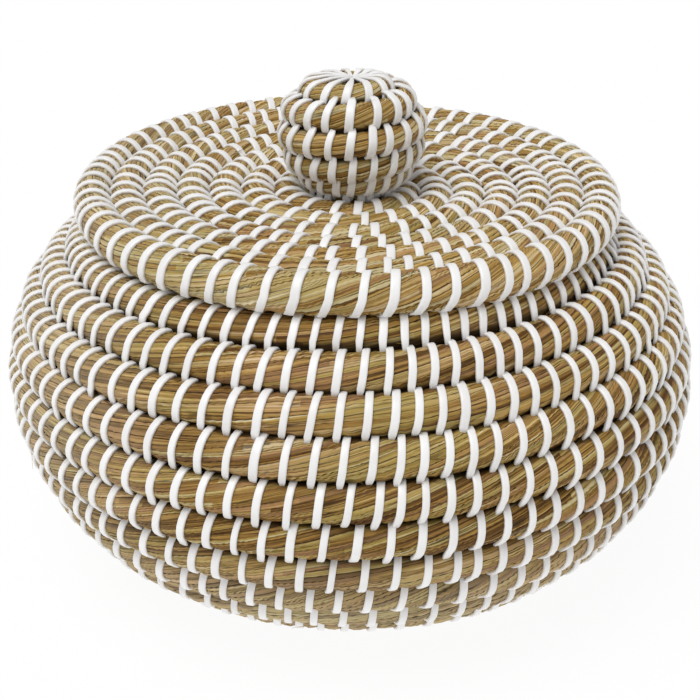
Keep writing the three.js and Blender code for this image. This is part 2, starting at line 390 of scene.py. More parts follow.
def closed_skin(rings, uv):
    """Faces over rings of points: a quad between each two neighbours on each two rings, and a
    flat end on the first and last ring. The faces are turned so that their volume is positive."""
    count, sides = rings.shape[:2]
    row = np.arange(count - 1)[:, None] * sides
    side = np.arange(sides)[None, :]
    after = (side + 1) % sides
    quads = np.stack([row + side, row + after, row + sides + after, row + sides + side], -1)
    points = rings.reshape(-1, 3)
    corners = points[quads.reshape(-1, 4)]
    spread = np.cross(corners[:, 2] - corners[:, 0], corners[:, 3] - corners[:, 1])
    volume = np.sum(np.sum(spread * corners.mean(1), 1))
    uv_quads = np.stack([uv[:-1, :-1], uv[:-1, 1:], uv[1:, 1:], uv[1:, :-1]], 2).reshape(-1, 4, 2)
    loops = quads.reshape(-1, 4)
    first = np.arange(sides)[::-1]
    last = (count - 1) * sides + np.arange(sides)
    if volume < 0:
        loops = loops[:, ::-1]
        uv_quads = uv_quads[:, ::-1]
        first = first[::-1]
        last = last[::-1]
    flat_uv = np.concatenate([uv[0, first], uv[-1, last - (count - 1) * sides]])
    all_loops = np.concatenate([loops.ravel(), first, last])
    all_uv = np.concatenate([uv_quads.reshape(-1, 2), flat_uv])
    starts = np.concatenate([np.arange(len(loops)) * 4, len(loops) * 4 + np.array([0, sides])])
    return points, all_loops, starts, all_uv


def join_skins(skins):
    """One set of points and faces out of several: each set's indices move up by the number of
    points or corners before it."""
    points, loops, starts, uvs = zip(*skins)
    points_before = np.cumsum([0] + [len(part) for part in points[:-1]])
    loops_before = np.cumsum([0] + [len(part) for part in loops[:-1]])
    starts = [part + before for part, before in zip(starts, loops_before)]
    loops = [part + before for part, before in zip(loops, points_before)]
    return tuple(np.concatenate(parts) for parts in (points, loops, starts, uvs))


def flat(values, kind=np.float32):
    return np.ascontiguousarray(values, kind).ravel()


def add_piece(name, skin, material, body, replaced, groove=None):
    """A mesh object in the scene that rides on a body and stands for CAD nodes.

    A coil also gets a value at each point: how deep it lies in the groove between two rows.
    Its grass material paints shade by this value.
    """
    points, loops, starts, uv = skin
    mesh = bpy.data.meshes.new(name)
    mesh.vertices.add(len(points))
    mesh.vertices.foreach_set("co", flat(points))
    mesh.loops.add(len(loops))
    mesh.loops.foreach_set("vertex_index", flat(loops, np.int32))
    mesh.polygons.add(len(starts))
    mesh.polygons.foreach_set("loop_start", flat(starts, np.int32))
    mesh.polygons.foreach_set("use_smooth", np.ones(len(starts), bool))
    mesh.uv_layers.new(name="lay").data.foreach_set("uv", flat(uv))
    mesh.update(calc_edges=True)
    if groove is not None:
        depth = mesh.attributes.new("groove", "FLOAT", "POINT")
        depth.data.foreach_set("value", flat(groove))
    mesh.validate()
    mesh.materials.append(material)
    piece = bpy.data.objects.new(name, mesh)
    bpy.context.scene.collection.objects.link(piece)
    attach(piece, body)
    if replaced:
        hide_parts(*replaced)


def stitch_distances(coil, spacing, last_spacing, first_count, uneven, first=None):
    """Where the stitches stand, as distances along the coil's profile line.

    The first row has evenly turned stitches. Each later one stands a spacing from the last,
    drawn part of the way to the nearest stitch of the row before.
    """
    random = np.random.default_rng(coil.seed + 7)
    first = coil.start if first is None else first
    places = list(first + coil.pitch * (np.arange(first_count) + 0.5) / first_count)
    narrowing = coil.fine[np.argmax(coil.radii)] - 1.5 * coil.pitch
    index = 0
    while True:
        share = np.clip((places[-1] - narrowing) / max(coil.end - narrowing, 1 * MM), 0, 1)
        radius = coil.radius_at(min(places[-1], coil.end))
        step = mix(spacing, last_spacing, share) * coil.pitch / (TURN * radius)
        guess = places[-1] + step
        beside = 2 * (guess - coil.pitch)
        while index < len(places) - 2 and places[index + 1] + places[index] < beside:
            index += 1
        around = places[max(index - 1, 0):index + 2]
        below = mix(places[index], sum(around) / len(around), 0.6) + coil.pitch
        pull = np.clip(0.5 * (below - guess), -0.16 * step, 0.16 * step)
        target = guess + pull + uneven * step * random.normal()
        if target > coil.end - 0.4 * step:
            break
        places.append(target)
    return np.array(places)


def coil_rings(coil, stitches, lay_angle, full_relief, slant):
    """Rings of points round the bundle, and each point's place on its blades.

    The section is an ellipse. Its points lie closer on the two faces that show. Blades run
    along it on a slow twist, each a low arch between two creases, and the lashing draws the
    bundle in at each stitch.
    """
    ring_count = int(coil.length() / coil.step) + 1
    wound = np.linspace(0, coil.length(), ring_count)
    distance = coil.distance_at(wound)
    turn = TURN * np.arange(coil.points + 1) / coil.points
    angle = turn + 0.2 * np.sin(2 * turn)
    lay = math.tan(math.radians(lay_angle))
    uneven = 1 + 0.7 * smooth_noise(coil.seed + 2, wound, TWIST_PERIOD)
    twist = running_area(lay * uneven / coil.half_thickness, wound)
    lane = coil.blades * (angle - twist[:, None]) / TURN
    length = wound[:, None]
    drift = smooth_field(coil.seed + 3, length, BLADE_DRIFT_PERIOD, lane, coil.blades)
    lane = lane + BLADE_DRIFT * drift
    blade = np.floor(lane)
    share = lane - blade
    arch = 1 - np.abs(2 * share - 1) ** 2.2
    offset = smooth_field(coil.seed + 4, length, BLADE_HEIGHT_PERIOD, blade, coil.blades)
    lump = smooth_field(coil.seed + 5, length, LUMP_PERIOD, lane / 4, coil.blades // 4)
    lean = slant * np.interp(angle, [0, math.pi, 1.5 * math.pi, TURN], [-0.54, 0.51, 0, -0.54])
    nearest = nearest_stitch(coil, stitches, length - lean)
    drawn = np.exp(-((nearest / DRAW_REACH) ** 4))
    relief = coil.relief * full_relief * (arch - 0.62 + 0.6 * offset) * (1 - 0.7 * drawn)
    swell = relief + LUMP * lump * (1 - drawn) + 0.1 * MM - DRAW_DEPTH * drawn
    narrow = np.minimum(1, coil.radius_at(distance) / coil.half_width)[:, None]
    along = -np.cos(angle) * (coil.half_width + swell)
    along = np.where(along < 0, along * narrow, along)
    across = np.sin(angle) * (coil.half_thickness + swell)
    rings = coil.place(distance[:, None], along, across)
    return rings[:, :-1], grid(length, lane), coil.groove(distance, angle)[:, :-1]


def nearest_stitch(coil, stitches, wound):
    """Distance along the bundle to the nearest stitch."""
    places = coil.wound_at(stitches)
    after = np.clip(np.searchsorted(places, wound), 1, len(places) - 1)
    return np.minimum(np.abs(wound - places[after]), np.abs(wound - places[after - 1]))


# Points of one wrap of the strip. The first four come out of the row before and bridge the
# groove, the next ten lie on an ellipse round the bundle, at these angles from its outermost
# point towards the next row, and the last two lead back into the row before. Each has its place
# along the bundle: eleven of them in slants from the middle of the stitch, the rest in shares of
# the way to the next stitch.
WRAP_ANGLES = np.radians([-20, -2, 16, 34, 52, 70, 88, 110, 140, 178])
WRAP_NORMALS = np.array(
    [[-1.0, 0.0], [-0.85, 0.5], [-0.7, 0.71], [-0.64, 0.77]]
    + [[math.sin(angle), math.cos(angle)] for angle in WRAP_ANGLES]
    + [[-0.4, -0.92], [-0.85, -0.5]]
)
WRAP_ADVANCE = np.array([-0.5, -0.5, -0.43, -0.28, -0.13, -0.02, 0.09, 0.2, 0.31, 0.41, 0.5])
WRAP_RETURN = np.array([0.12, 0.3, 0.55, 0.8, 1.0])
WRAP_WIDTHS = np.array([0.45, 0.7, 0.97] + [1] * 12 + [0.8])
STAR_WIDTHS = np.array([0.3, 0.34, 0.44, 0.62, 0.82, 0.95] + [1] * 9 + [0.8])
POINTS_IN_ROW_BEFORE = [0, 1, 14, 15]

# How a strip lies: pressed into the grass, leaving it at an angle on its way to the row before,
# with a bend part of the way there
STRIP_PRESS = 0.1 * MM
LEAVING_ANGLE = math.radians(40)
BEND_SHARE = 0.42
BEND_RISE = 0.2 * MM
STAR_BEND_RISE = 0.5 * MM
STRIP_ENTRY = 1.8 * MM
LEAST_BITE = 0.1 * MM
SLANT_SPREAD = 0.4 * MM
BITE_SPREAD = 0.35
WIDTH_SPREAD = 0.06
STRIP_SECTION = np.array([
    [-0.96, -1.0], [-1.0, 0.3], [-0.84, 0.88], [-0.5, 1.0],
    [0.5, 1.0], [0.84, 0.88], [1.0, 0.3], [0.96, -1.0],
])


def wrap_offsets(coil, bites, thickness, in_star, random):
    """Offsets of the points of each wrap, along the profile line and square to it.

    Round the bundle they lie on an ellipse, half a strip outside it. The bridge leaves the
    ellipse at the leaving angle and comes down on the row before where the bite ends, at the
    height of that row's own ellipse. In a star it comes down in the eye instead.
    """
    ones = np.ones(len(bites))
    wide = coil.half_width + thickness / 2 - STRIP_PRESS
    thick = coil.half_thickness + thickness / 2 - STRIP_PRESS
    reach = coil.half_width + bites
    depth = np.clip(1 - bites / coil.half_width, 0, 1)
    surface = coil.half_thickness * np.sqrt(1 - depth ** 2)
    eye = coil.half_thickness - STAR_SINK + STAR_SINK_SPREAD * random.uniform(size=len(bites))
    surface = np.where(in_star, eye, surface)
    bridge_along = -wide * math.sin(LEAVING_ANGLE) * ones
    bridge_across = thick * math.cos(LEAVING_ANGLE) * ones
    bend_along = mix(-reach, bridge_along, BEND_SHARE)
    hugging = thick * np.sqrt(1 - (bend_along / wide) ** 2)
    bend_across = np.maximum(mix(surface, bridge_across, BEND_SHARE) + BEND_RISE, hugging)
    bend_across = np.where(in_star, surface + STAR_BEND_RISE, bend_across)
    bridge_across = np.where(in_star, mix(surface, thick, 0.5), bridge_across)
    along = np.stack(
        [-reach + 0.1 * MM, -reach, bend_along, bridge_along]
        + [wide * math.sin(angle) * ones for angle in WRAP_ANGLES]
        + [0.9 * MM - coil.half_width * ones, -reach], 1)
    across = np.stack(
        [surface - STRIP_ENTRY, surface + 0.1 * MM, bend_across, bridge_across]
        + [thick * math.cos(angle) * ones for angle in WRAP_ANGLES]
        + [-0.8 * thick * ones, -surface], 1)
    return along, across


def strip_rings(coil, stitches, thickness, width, slant, bite, star=0):
    """Rings of points along the strip, which wraps the bundle once at each stitch.

    A wrap comes out of the row before, crosses the face that shows, goes round the bundle and
    back into the row before at the next stitch's place. Each ring lies square to the strip,
    with its back towards the middle of the bundle. The first few wraps can make a star: they
    start at the axis and narrow towards it.
    """
    random = np.random.default_rng(coil.seed + 11)
    count = len(stitches)
    in_star = np.arange(count) < star
    places = coil.wound_at(stitches)
    steps = np.diff(places, append=2 * places[-1] - places[-2])
    slants = slant + SLANT_SPREAD * random.normal(size=count)
    bites = np.maximum(bite * (1 + BITE_SPREAD * random.normal(size=count)), LEAST_BITE)
    over = WRAP_ADVANCE * slants[:, None]
    onward = slants[:, None] / 2 + WRAP_RETURN * (steps - slants)[:, None]
    wound = np.clip(places[:, None] + np.concatenate([over, onward], 1), 0, coil.length())
    distance = coil.distance_at(wound)
    along, across = wrap_offsets(coil, bites, thickness, in_star, random)
    along = np.maximum(along, 0.5 * MM - coil.radius_at(distance))
    back = np.zeros_like(along)
    back[:, POINTS_IN_ROW_BEFORE] = -along[:, POINTS_IN_ROW_BEFORE]
    along[:, POINTS_IN_ROW_BEFORE] = 0
    along[:star, 2:4] = 0
    back[:star, :3] = distance[:star, :3] - STAR_EYE_DISTANCES
    back[:star, 3] = (distance[:star, 3] - STAR_EYE_DISTANCES[-1] - 0.3 * coil.half_width) / 2
    middle = coil.place(distance, along, across, 0.1 * MM, back).reshape(-1, 3)
    towards = 0.01 * MM * WRAP_NORMALS
    raised = coil.place(distance, along + towards[:, 0], across + towards[:, 1], -1.0, back)
    plain = coil.place(distance, along, across, -1.0, back)
    width_way = unit(np.cross(np.gradient(middle, axis=0), (raised - plain).reshape(-1, 3)))
    out_way = unit(np.cross(width_way, np.gradient(middle, axis=0)))
    widths = np.where(in_star[:, None], STAR_WIDTHS, WRAP_WIDTHS)
    widths = widths * width / 2 * (1 + WIDTH_SPREAD * random.normal(size=(count, 1)))
    rings = (middle[:, None, :]
             + width_way[:, None, :] * STRIP_SECTION[:, :1] * widths.reshape(-1, 1, 1)
             + out_way[:, None, :] * STRIP_SECTION[:, 1:] * thickness / 2)
    if coil.floor > 0:
        rings[..., 2] = np.maximum(rings[..., 2], 0.05 * MM)
    run = running_sum(np.linalg.norm(np.diff(middle, axis=0), axis=1))
    return rings, strip_map(run)


def strip_map(run):
    """The map of a strip: the length along it, and the share of the way round its section."""
    return grid(run[:, None], np.arange(len(STRIP_SECTION) + 1) / len(STRIP_SECTION))


def unit(vectors):
    """Vectors of length one."""
    return vectors / np.maximum(np.linalg.norm(vectors, axis=-1, keepdims=True), 1e-12)


def body_coil_shape():
    """The coil of the base and wall: flat under the base, two arcs up the bowl, one over the lip,
    and straight in to the mouth row."""
    bowl = [
        straight_run(BASE_FLAT_RADIUS),
        arc_run(LOWER_BOWL_RADIUS, 90),
        arc_run(UPPER_BOWL_RADIUS, UPPER_BOWL_BEND),
        arc_run(LIP_RADIUS, 90 - UPPER_BOWL_BEND),
    ]
    bowl_length = sum(length for length, _ in bowl)
    lip_radius, _, _ = profile_points(bowl, BODY_BASE_HEIGHT, bowl_length)
    run = float(lip_radius) - MOUTH_ROW_RADIUS
    return Coil(
        bowl + [straight_run(run)], BODY_BASE_HEIGHT, BODY_START, bowl_length + run, BODY_PITCH,
        BODY_HALF_THICKNESS, 1, BODY_END_AZIMUTH, 1, seed=100, blades=BODY_BLADES,
        floor=FLOOR_CLEARANCE, shift=BODY_SHIFT, side_lean=BODY_SIDE_LEAN,
    )


def lid_coil_shape():
    """The coil of the lid. Its line is one arc, as deep as the dish: the arc's radius is half the
    depth plus the end radius squared over twice the depth."""
    dish_radius = (LID_END_RADIUS ** 2 + LID_DISH_DEPTH ** 2) / (2 * LID_DISH_DEPTH)
    bend = math.degrees(math.asin(LID_END_RADIUS / dish_radius))
    dish = [arc_run(dish_radius, bend)]
    return Coil(
        dish, LID_MIDDLE_HEIGHT, LID_START, dish[0][0], LID_PITCH, LID_HALF_THICKNESS, -1,
        LID_END_AZIMUTH, -1, seed=200, blades=LID_BLADES, taper=LID_TAPER,
        thickening=RIM_THICKENING, lean=LID_LEAN, shift=LID_SHIFT,
    )


def knob_coil_shape():
    """The coil of the knob: flat on the crown, two arcs down its side, and straight in to the
    foot, where it tapers out."""
    ball = [
        straight_run(KNOB_CROWN_FLAT),
        arc_run(KNOB_SHOULDER_RADIUS, -KNOB_SHOULDER_BEND),
        arc_run(KNOB_SIDE_RADIUS, -KNOB_SIDE_BEND),
        straight_run(KNOB_FOOT_RUN),
    ]
    return Coil(
        ball, KNOB_TOP - KNOB_HALF_THICKNESS, KNOB_START, sum(length for length, _ in ball),
        KNOB_PITCH, KNOB_HALF_THICKNESS, -1, KNOB_END_AZIMUTH, -1, seed=300, blades=KNOB_BLADES,
        taper=KNOB_TAPER, shift=KNOB_SHIFT, tuck=KNOB_TUCK, points=KNOB_POINTS, step=KNOB_STEP,
        relief=KNOB_RELIEF,
    )


class RingCoil(Coil):
    """A level turn of the bundle whose two ends butt together, and that leans with the lid."""

    def __init__(self):
        width = 2 * (RING_HALF_WIDTH - ROW_OVERLAP)
        super().__init__(
            [straight_run(2 * RING_RADIUS)], RING_HEIGHT, RING_RADIUS, RING_RADIUS + width, width,
            RING_HALF_THICKNESS, 1, RING_END_AZIMUTH, 1, seed=400, blades=RING_BLADES,
            lean=LID_LEAN, points=RING_POINTS, step=RING_STEP,
        )
        self.wound = TURN * RING_RADIUS * (self.fine - self.start) / width

    def place(self, distance, along, across, floor=None, back=0.0):
        """The same as for a coil, with the centre line held at one radius."""
        azimuth = self.azimuth(np.asarray(distance, float))
        radius = RING_RADIUS + along - back
        x = radius * np.cos(azimuth) + RING_SHIFT
        y = radius * np.sin(azimuth)
        height = RING_HEIGHT - across + self.lean_slope * y
        return grid(x, y, height)

    def groove(self, distance, angle):
        """A single turn has no groove."""
        return np.zeros((len(distance), len(angle)))


# Loose ends of grass. Lengths and thicknesses are in millimetres, and the ways off the bundle
# are shares of the length: first the even part, then the part that grows with its square
FIBRE_SIDES = np.array([[1.0, 0.0], [-0.5, 0.87], [-0.5, -0.87]])
FIBRE_LENGTHS = (3, 9)
FIBRE_THICKNESSES = (0.16, 0.3)
FIBRE_SIDEWAYS = ((-0.3, 0.3), (-0.3, 0.3))
FIBRE_OUTWARDS = ((0.05, 0.22), (-0.1, 0.22))


def stray(random, length, step, ranges):
    """A random way off the bundle: a share of the length, and a bend that grows squared."""
    even = random.uniform(*ranges[0]) * length * step
    return even + random.uniform(*ranges[1]) * length * step ** 2


def loose_fibres(coil, count):
    """Ends of grass that stick out of a coil, each a three-sided hair that thins to its tip.

    A fibre leaves the bundle at a random place of the face that shows. It runs mostly along
    the bundle, one way or the other, and strays out and sideways. One in ten is much longer.
    """
    random = np.random.default_rng(coil.seed + 17)
    step = np.linspace(0, 1, 6)
    skins = []
    for _ in range(count):
        length = random.uniform(*FIBRE_LENGTHS) * MM * random.choice([1, 1.9], p=[0.9, 0.1])
        angle = math.radians(random.choice([-1, 1]) * random.uniform(18, 80))
        ahead = random.choice([-1, 1])
        wound = random.uniform(0.02, 0.97) * coil.length() + ahead * length * step
        sideways = stray(random, length, step, FIBRE_SIDEWAYS)
        outwards = stray(random, length, step, FIBRE_OUTWARDS)
        along = math.sin(angle) * coil.half_width + sideways
        across = math.cos(angle) * coil.half_thickness - 0.3 * MM + outwards
        distance = coil.distance_at(np.clip(wound, 0, coil.length()))
        path = coil.place(distance, along, across, 0.2 * MM)
        forward = unit(np.gradient(path, axis=0))
        side = unit(np.cross(forward, [0.3, 0.2, 0.93]))
        ways = np.stack([side, np.cross(side, forward)], 1)
        thick = random.uniform(*FIBRE_THICKNESSES) * MM * (1 - 0.8 * step)[:, None, None]
        rings = path[:, None, :] + thick * (FIBRE_SIDES @ ways)
        blade = random.integers(90) + 0.5
        skins.append(closed_skin(rings, grid(wound[:, None], np.full(4, blade))))
    return join_skins(skins)


def knob_core_skin():
    """A wad of grass turned about the knob's axis: an outline of radius against depth below the
    top of the wad, swollen by bundles that run slantwise round it."""
    outline = np.array(CORE_OUTLINE) * MM
    steps = np.linspace(0, len(outline) - 1, 40)[:, None]
    radius = np.interp(steps, np.arange(len(outline)), outline[:, 0])
    depth = np.interp(steps, np.arange(len(outline)), outline[:, 1])
    turn = TURN * np.arange(49) / 48
    fading = np.minimum(1, radius / (4 * MM))
    bundles = np.sin(CORE_BUNDLES * turn + depth / CORE_BUNDLE_SLANT) * fading
    swollen = np.maximum(radius - 0.5 * MM + CORE_SWELL * bundles, 0.2 * MM)
    x = swollen * np.cos(turn) + KNOB_SHIFT
    rings = grid(x, swollen * np.sin(turn), CORE_TOP - depth)
    return closed_skin(rings[:, :-1], grid(depth, 24 * turn / TURN))


def knob_tie_skin():
    """Four strips twisted together through the eye of the lid, and the knot under it.

    The twist is a four-lobed section that turns with the height. The knot is a strip along a
    trefoil: x = sin t + 2 sin 2t, y = cos t - 2 cos 2t, z = -sin 3t.
    """
    height = np.linspace(TIE_TOP, TIE_BOTTOM, 60)[:, None]
    turn = TURN * np.arange(25) / 24
    lobes = TIE_RADIUS + TIE_LOBE * np.cos(4 * turn - height / TIE_TWIST)
    rings = grid(lobes * np.cos(turn), lobes * np.sin(turn), height)
    twist = closed_skin(rings[:, :-1], grid(height, turn / TURN))
    t = np.linspace(0.12, TURN + 0.02, 90)
    path = grid(
        KNOT_SIZE * (np.sin(t) + 2 * np.sin(2 * t)),
        KNOT_SIZE * (np.cos(t) - 2 * np.cos(2 * t)),
        KNOT_HEIGHT - KNOT_RISE * np.sin(3 * t),
    )
    side = unit(np.cross(np.gradient(path, axis=0), [0.0, 0.0, 1.0]))
    section = STRIP_SECTION * KNOT_STRIP
    loop = path[:, None, :] + side[:, None, :] * section[:, :1]
    loop[..., 2] += section[:, 1]
    knot = closed_skin(loop, strip_map(np.linspace(0, KNOT_LENGTH, len(t))))
    return join_skins([twist, knot])


def foot_ties_skin(width, thickness):
    """Short strips that hold the foot of the knob down in a groove of the lid.

    Each is a bow in a plane through the axis: its height falls evenly and its radius swells
    by half a sine.
    """
    random = np.random.default_rng(FOOT_TIE_SEED)
    places = np.arange(FOOT_TIE_COUNT)
    turn = TURN * (places + 0.2 * random.normal(size=FOOT_TIE_COUNT)) / FOOT_TIE_COUNT
    turn = turn[:, None, None]
    share = np.linspace(0, 1, 7)
    section = STRIP_SECTION * [width, thickness] / 2
    bow = FOOT_TIE_SWELL * np.sin(math.pi * share)[:, None]
    radius = FOOT_TIE_RADIUS + bow + section[:, 1]
    x = radius * np.cos(turn) - section[:, 0] * np.sin(turn) + KNOB_SHIFT
    y = radius * np.sin(turn) + section[:, 0] * np.cos(turn)
    height = mix(FOOT_TIE_TOP, FOOT_TIE_BOTTOM, share)[:, None]
    ties = grid(x, y, height)
    skins = []
    for place, rings in zip(places, ties):
        run = place * 20 * MM + share * (FOOT_TIE_TOP - FOOT_TIE_BOTTOM)
        skins.append(closed_skin(rings, strip_map(run)))
    return join_skins(skins)


class Wire:
    """A socket that takes part in sums; each operator adds its own Math node."""

    def __init__(self, tree, socket):
        self.tree = tree
        self.socket = socket

    def add_node(self, kind, settings=None, values=None, output=0):
        """Adds a node, makes its settings first and then fills or links its sockets."""
        node = self.tree.nodes.new(kind)
        for name, value in (settings or {}).items():
            if name == "stops":
                set_stops(node.color_ramp, value)
            else:
                setattr(node, name, value)
        for name, value in (values or {}).items():
            if isinstance(value, Wire):
                value.feed(node, name)
            else:
                node.inputs[name].default_value = value
        return Wire(self.tree, node.outputs[output])

    def feed(self, node, name):
        self.tree.links.new(self.socket, node.inputs[name])

    def math(self, operation, *values):
        return self.add_node("ShaderNodeMath", {"operation": operation}, dict(enumerate(values)))

    def __add__(self, other):
        return self.math("ADD", self, other)

    __radd__ = __add__

    def __sub__(self, other):
        return self.math("SUBTRACT", self, other)

    def __rsub__(self, other):
        return self.math("SUBTRACT", other, self)

    def __mul__(self, other):
        return self.math("MULTIPLY", self, other)

    __rmul__ = __mul__

    def floor(self):
        return self.math("FLOOR", self)

    def absolute(self):
        return self.math("ABSOLUTE", self)

    def least(self, other):
        return self.math("MINIMUM", self, other)

    def most(self, other):
        return self.math("MAXIMUM", self, other)

    def part(self, index):
        """The first, second or third number of this vector."""
        return self.add_node("ShaderNodeSeparateXYZ", None, {0: self}, index)

    def noise(self, scale=1.0, detail=2.0):
        """Smooth noise from 0 to 1 over this vector."""
        values = {"Vector": self, "Scale": scale, "Detail": detail}
        return self.add_node("ShaderNodeTexNoise", None, values)

    def ramp(self, low, high, out_low, out_high):
        """A smooth change from one value to another between two values of this one."""
        values = {0: self, 1: low, 2: high, 3: out_low, 4: out_high}
        return self.add_node("ShaderNodeMapRange", {"interpolation_type": "SMOOTHSTEP"}, values)

    def blend(self, first, second):
        """Two colours mixed by this share."""
        values = {0: self, 6: first, 7: second}
        return self.add_node("ShaderNodeMix", {"data_type": "RGBA"}, values, 2)

    def bump(self, strength, depth):
        """A surface raised by this height, at most so deep."""
        values = {"Strength": strength, "Distance": depth, "Height": self}
        return self.add_node("ShaderNodeBump", None, values)


def set_stops(ramp, stops):
    """Gives a colour ramp its stops, each a position and a colour."""
    while len(ramp.elements) < len(stops):
        ramp.elements.new(0.5)
    for element, (position, color) in zip(ramp.elements, stops):
        element.position = position
        element.color = (*color, 1)


def new_material(name):
    """A material with one Principled BSDF, its first wire and its shader."""
    material = bpy.data.materials.new(name)
    material.use_nodes = True
    tree = material.node_tree
    start = Wire(tree, tree.nodes.new("ShaderNodeTexCoord").outputs["Object"])
    return material, start, tree.nodes["Principled BSDF"]


def vector(x, y, z):
    return x.add_node("ShaderNodeCombineXYZ", None, {0: x, 1: y, 2: z})


def seagrass_material(name, look, paler):
    """Grass blades lying along a coil.

    The piece's own map gives the length along the bundle and the number of the blade. Each
    blade has its own tone for a stretch of its length, painted shade in its two creases and
    fine fibres along it. Where two rows meet, painted shade darkens it, and on the left and
    low down it is paler with painted light.
    """
    material, start, shader = new_material(name)
    lay = start.add_node("ShaderNodeUVMap", {"uv_map": "lay"})
    length = lay.part(0)
    lane = lay.part(1)
    blade = lane.floor()
    share = lane - blade
    shift = start.add_node("ShaderNodeTexWhiteNoise", {"noise_dimensions": "1D"}, {"W": blade})
    stretch = (length * look.blade_stretches + shift * 9.0).floor()
    cell = vector(blade, stretch, 0.0)
    blade_tone = start.add_node("ShaderNodeTexWhiteNoise", {"noise_dimensions": "2D"}, {"Vector": cell})

    def grain(along, across, layer, detail):
        """Noise over the map, with so many changes to the metre and to the blade."""
        return vector(length * along, lane * across, layer).noise(1.0, detail)

    leaf_tone = grain(14.0, 2.0, shift * 5.0, 1.0)
    streaks = grain(26.0, 4.2, shift * 3.0, 2.0)
    fibres = grain(17.0, 1.7, 7.0, 0.0)
    deep = grain(13.0, 0.9, 3.0, 1.0)
    tone = blade_tone * BLADE_TONE + leaf_tone * LEAF_TONE + streaks * STREAK_TONE
    tone = tone + (paler + TONE_START)
    stops = [
        (0.0, look.shade), (0.2, look.bark), (0.4, look.tan), (0.58, look.gold),
        (0.78, look.straw), (1.0, look.pale),
    ]
    colours = start.add_node("ShaderNodeValToRGB", {"stops": stops}, {0: tone})

    patch = start.noise(22.0)
    greener = (patch * 0.7 + blade_tone * 0.5).ramp(0.55, 0.82, 0.0, 0.55)
    rosier = ((1.0 - patch) * 0.6 + shift * 0.55).ramp(0.64, 0.86, 0.0, 0.45)
    # Painted light: the grass is mixed towards a paler colour on the left and low down.
    sideways = start.part(0).ramp(*PAINTED_LIGHT_SIDE, PAINTED_LIGHT_SHARE, 0.0)
    painted_light = sideways.most(start.part(2).ramp(*PAINTED_LIGHT_FOOT, PAINTED_LIGHT_SHARE, 0.0))

    # Painted shade in the creases between blades, stronger on some stretches.
    crease_shade = share.least(1.0 - share).ramp(0.0, 0.17, 1.0, 0.0) * deep.ramp(0.36, 0.6, 0.1, 0.95)
    slits = (fibres - 0.5).absolute().ramp(0.0, 0.055, 0.8, 0.0)
    slits = slits * (1.0 - deep).ramp(0.4, 0.6, 0.15, 1.0)
    # Painted shade where two rows meet: the deeper in the groove, the darker.
    groove = start.add_node("ShaderNodeAttribute", {"attribute_name": "groove"}, None, 2)
    shade = (groove + (streaks - 0.5) * 0.4).ramp(0.36, 0.68, 0.0, 0.93)
    # Painted shade of creases and grooves, together with the dark slits along the fibres.
    shade_and_slits = crease_shade.most(slits).most(shade)

    # Tints: green and pink patches, painted light on the left and low down, then the painted shade with
    # the slits.
    tints = ((greener, look.olive), (rosier, look.rose), (painted_light, look.painted_light), (shade_and_slits, look.crease_shade))
    for amount, tint in tints:
        colours = amount.blend(colours, (*tint, 1))
    colours.feed(shader, "Base Color")
    shader.inputs["Specular IOR Level"].default_value = GRASS_GLOSS
    streaks.ramp(0.3, 0.7, 0.42, 0.65).feed(shader, "Roughness")
    surface = streaks * 0.9 - shade_and_slits * 0.7 + leaf_tone * 0.5
    surface.bump(0.6, 0.3 * MM).feed(shader, "Normal")
    return material


def strip_material(look):
    """White plastic strip, smooth, with faint drawn lines along it and a little grey dirt."""
    material, start, shader = new_material("white_strip_finish")
    lay = start.add_node("ShaderNodeUVMap", {"uv_map": "lay"})
    lines = vector(lay.part(0) * 40.0, lay.part(1) * 22.0, 0.0).noise()
    dirt = start.noise(60.0, 3.0).ramp(0.35, 0.7, 0.0, 1.0)
    dirt.blend((*look.strip_white, 1), (*look.strip_grey, 1)).feed(shader, "Base Color")
    lines.ramp(0.3, 0.7, 0.34, 0.46).feed(shader, "Roughness")
    lines.bump(0.25, 0.1 * MM).feed(shader, "Normal")
    return material


def stage_material():
    """Pale floor that the camera sees nearly white, and that still takes shadow.

    It is a mix of a lit surface and a glow. The glow is 1 to the camera, straight or in a
    gloss, and a little stronger where it lights the basket.
    """
    material, start, shader = new_material("white_floor")
    shader.inputs["Base Color"].default_value = (0.9, 0.9, 0.9, 1)
    shader.inputs["Roughness"].default_value = 0.9
    shader.inputs["Specular IOR Level"].default_value = 0.0
    seen, glossy, through = (
        start.add_node("ShaderNodeLightPath", output=f"Is {kind} Ray")
        for kind in ("Camera", "Glossy", "Transmission")
    )
    strength = (seen + glossy + through).least(1.0) * (1.0 - FLOOR_BOUNCE) + FLOOR_BOUNCE
    values = {"Color": (1, 1, 1, 1), "Strength": strength}
    glow = start.add_node("ShaderNodeEmission", None, values)
    lit = Wire(start.tree, shader.outputs["BSDF"])
    both = start.add_node("ShaderNodeMixShader", None, {0: FLOOR_GLOW, 1: lit, 2: glow})
    both.feed(start.tree.nodes["Material Output"], "Surface")
    return material


def colour_setting(name, description, value):
    return bpy.props.FloatVectorProperty(
        name=name, description=description, default=value, size=3, min=0, max=1, subtype="COLOR")


def number_setting(name, description, value, **kind):
    return bpy.props.FloatProperty(name=name, description=description, default=value, **kind)


def length_setting(name, description, value):
    return number_setting(name, description, value, unit="LENGTH")


def count_setting(name, description, value):
    return bpy.props.IntProperty(name=name, description=description, default=value)


WIDTH_NOTE = "Width of the white strip"
BITE_NOTE = "How far a stitch reaches into the row before"
SLANT_NOTE = "How far a stitch leans along its row"
TONE_NOTE = "How much paler this grass is"
FIBRE_NOTE = "Loose ends of grass that stick out"


